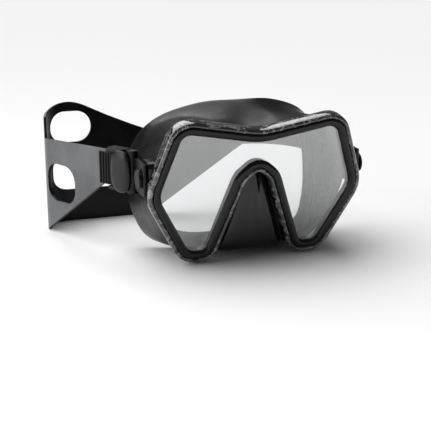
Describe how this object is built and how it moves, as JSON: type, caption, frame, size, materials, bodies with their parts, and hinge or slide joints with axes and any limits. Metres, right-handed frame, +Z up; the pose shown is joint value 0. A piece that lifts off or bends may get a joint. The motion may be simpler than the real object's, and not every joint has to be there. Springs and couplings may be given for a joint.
{
  "type": "snorkel mask",
  "caption": "Panoramic single-lens snorkelling mask with a black silicone skirt and nose pocket, a smoked frame, swivelling roller buckles and a split silicone head strap.",
  "frame": {"origin": "centre of the footprint on the floor, under the mask and its strap loop", "axes": "+Z up, the lens faces -Y, +X across the mask to the right as seen from the front"},
  "size_m": [0.2312, 0.1846, 0.1162],
  "materials": {
    "skirt_silicone": "satin black silicone",
    "strap_silicone": "satin black silicone",
    "lens_glass": "clear tempered glass with a faint grey reflection",
    "frame_black": "gloss black polycarbonate",
    "trim_smoke": "smoked marbled polycarbonate",
    "buckle_black": "fine satin black polymer",
    "pin_steel": "stainless steel"
  },
  "bodies": {
    "mask": {"skirt": "skirt_silicone", "lens": "lens_glass", "main_frame": "frame_black", "front_bezel": "frame_black", "smoked_trim": "trim_smoke", "retainer_ring": "frame_black", "left_pivot_cap": "buckle_black", "right_pivot_cap": "buckle_black"},
    "strap_assembly": {"head_strap": "strap_silicone", "left_arm": "buckle_black", "right_arm": "buckle_black", "left_buckle_body": "buckle_black", "right_buckle_body": "buckle_black", "left_hinge_pin": "pin_steel", "right_hinge_pin": "pin_steel", "left_roller_axle": "pin_steel", "right_roller_axle": "pin_steel", "left_cover_spring": "pin_steel", "right_cover_spring": "pin_steel"},
    "left_cover": {"left_release_cover": "buckle_black"},
    "right_cover": {"right_release_cover": "buckle_black"},
    "left_roller_sleeve": {"left_roller": "buckle_black"},
    "right_roller_sleeve": {"right_roller": "buckle_black"}
  },
  "joints": [
    {"name": "strap_swing", "type": "hinge", "parent": "mask", "child": "strap_assembly", "pos_m": [0.01977, -0.06623, 0.07], "axis": [1, 0, 0], "range_deg": [-12, 75]},
    {"name": "left_cover_lift", "type": "hinge", "parent": "strap_assembly", "child": "left_cover", "pos_m": [-0.06773, -0.04123, 0.07], "axis": [0, 0, 1], "range_deg": [0, 16], "stiffness_Nm_per_rad": 0.05},
    {"name": "left_roller_turn", "type": "hinge", "parent": "strap_assembly", "child": "left_roller_sleeve", "pos_m": [-0.07773, -0.02391, 0.07], "axis": [0, 0, 1], "continuous": true},
    {"name": "right_cover_lift", "type": "hinge", "parent": "strap_assembly", "child": "right_cover", "pos_m": [0.10727, -0.04123, 0.07], "axis": [0, 0, -1], "range_deg": [0, 16], "stiffness_Nm_per_rad": 0.05},
    {"name": "right_roller_turn", "type": "hinge", "parent": "strap_assembly", "child": "right_roller_sleeve", "pos_m": [0.10901, -0.02131, 0.07], "axis": [0, 0, 1], "continuous": true}
  ]
}
